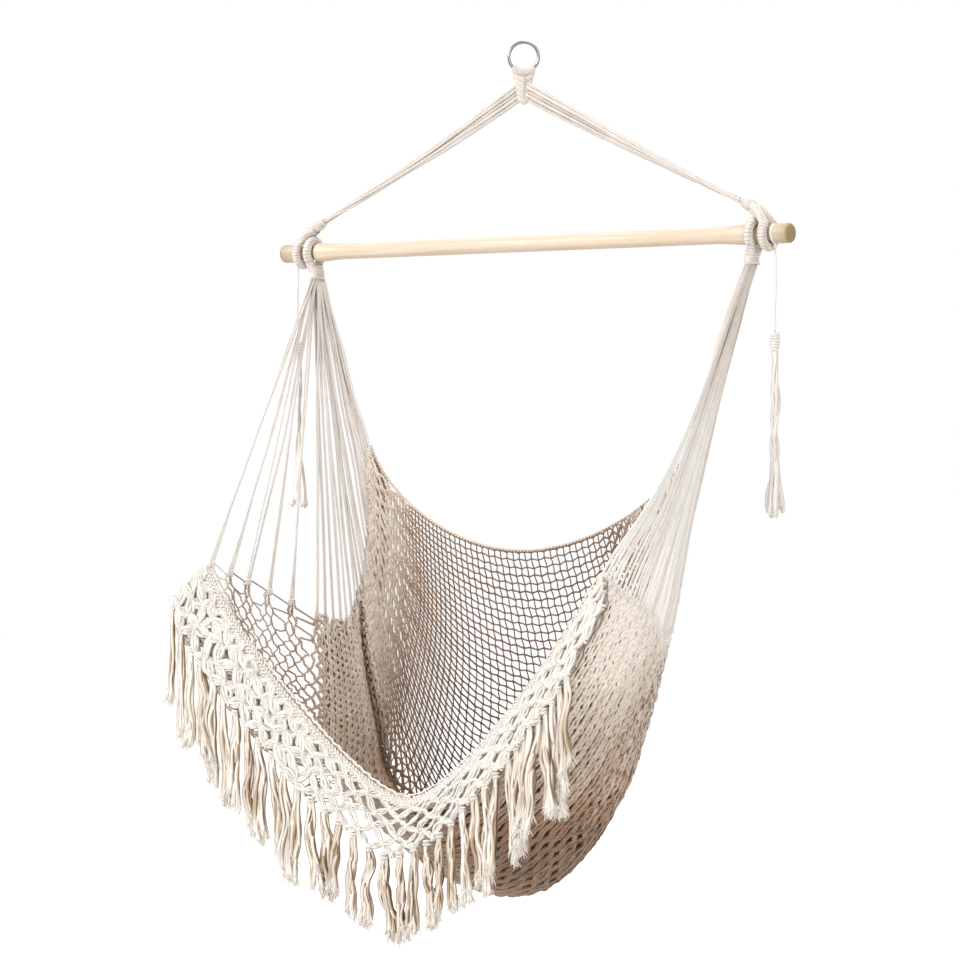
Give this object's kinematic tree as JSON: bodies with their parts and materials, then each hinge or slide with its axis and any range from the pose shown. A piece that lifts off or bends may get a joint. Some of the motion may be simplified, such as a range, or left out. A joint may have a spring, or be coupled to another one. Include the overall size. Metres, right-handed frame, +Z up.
{
  "type": "hammock chair",
  "caption": "Hanging chair of knotted cotton net with a fringed front border, slung by fans of cords from a wooden spreader bar under a steel ring.",
  "frame": {"origin": "the hang point: the inside of the top of the steel ring, where a hook bears", "axes": "+Z up, the sitter faces -Y, +X along the spreader bar to the right as seen from the front, which is how the nodes' left and right are meant"},
  "size_m": [1, 0.4761, 1.4305],
  "materials": {
    "ring_steel": "nickel plated, worn to a soft shine",
    "bar_wood": "sanded pine, thinly varnished",
    "cotton_cord": "natural unbleached cotton, matt",
    "cotton_net": "natural unbleached cotton, knotted, matt"
  },
  "bodies": {
    "ring": {"hanging_ring": "ring_steel", "ring_hitch_1": "cotton_cord", "ring_hitch_2": "cotton_cord", "ring_hitch_3": "cotton_cord", "ring_hitch_4": "cotton_cord"},
    "hanger": {"macrame_knot": "cotton_cord", "hanger_cord_left_1": "cotton_cord", "hanger_cord_left_2": "cotton_cord", "hanger_cord_left_3": "cotton_cord", "hanger_cord_left_4": "cotton_cord", "hanger_cord_right_1": "cotton_cord", "hanger_cord_right_2": "cotton_cord", "hanger_cord_right_3": "cotton_cord", "hanger_cord_right_4": "cotton_cord", "hanger_eye_left": "cotton_cord", "hanger_eye_right": "cotton_cord"},
    "bar": {"spreader_bar": "bar_wood", "stop_cord_left": "cotton_cord", "stop_cord_right": "cotton_cord"},
    "seat": {"seat_eye_left": "cotton_cord", "seat_eye_right": "cotton_cord", "fan_cord_left_01": "cotton_cord", "fan_cord_left_02": "cotton_cord", "fan_cord_left_03": "cotton_cord", "fan_cord_left_04": "cotton_cord", "fan_cord_left_05": "cotton_cord", "fan_cord_left_06": "cotton_cord", "fan_cord_left_07": "cotton_cord", "fan_cord_left_08": "cotton_cord", "fan_cord_left_09": "cotton_cord", "fan_cord_left_10": "cotton_cord", "fan_cord_left_11": "cotton_cord", "fan_cord_left_12": "cotton_cord", "fan_cord_right_01": "cotton_cord", "fan_cord_right_02": "cotton_cord", "fan_cord_right_03": "cotton_cord", "fan_cord_right_04": "cotton_cord", "fan_cord_right_05": "cotton_cord", "fan_cord_right_06": "cotton_cord", "fan_cord_right_07": "cotton_cord", "fan_cord_right_08": "cotton_cord", "fan_cord_right_09": "cotton_cord", "fan_cord_right_10": "cotton_cord", "fan_cord_right_11": "cotton_cord", "fan_cord_right_12": "cotton_cord", "seat_net": "cotton_net", "back_edge_cord": "cotton_cord", "front_border": "cotton_cord", "fringe_1": "cotton_cord", "fringe_2": "cotton_cord", "fringe_3": "cotton_cord", "fringe_4": "cotton_cord", "fringe_5": "cotton_cord", "fringe_6": "cotton_cord"},
    "left_tail": {"tail_cord_left": "cotton_cord", "tail_tassel_left": "cotton_cord"},
    "right_tail": {"tail_cord_right": "cotton_cord", "tail_tassel_right": "cotton_cord"}
  },
  "joints": [
    {"name": "hanger_swing", "type": "hinge", "parent": "ring", "child": "hanger", "pos_m": [0, 0, -0.0455], "axis": [0.8387, 0.5446, 0], "range_deg": [-25, 25]},
    {"name": "bar_roll", "type": "hinge", "parent": "hanger", "child": "bar", "pos_m": [0, 0, -0.324], "axis": [1, 0, 0], "range_deg": [-45, 45]},
    {"name": "seat_swing", "type": "hinge", "parent": "hanger", "child": "seat", "pos_m": [0, 0, -0.324], "axis": [1, 0, 0], "range_deg": [-25, 25]},
    {"name": "left_tail_swing", "type": "hinge", "parent": "bar", "child": "left_tail", "pos_m": [-0.4695, 0, -0.34213], "axis": [1, 0, 0], "range_deg": [-40, 40]},
    {"name": "right_tail_swing", "type": "hinge", "parent": "bar", "child": "right_tail", "pos_m": [0.4695, 0, -0.34213], "axis": [1, 0, 0], "range_deg": [-40, 40]}
  ]
}
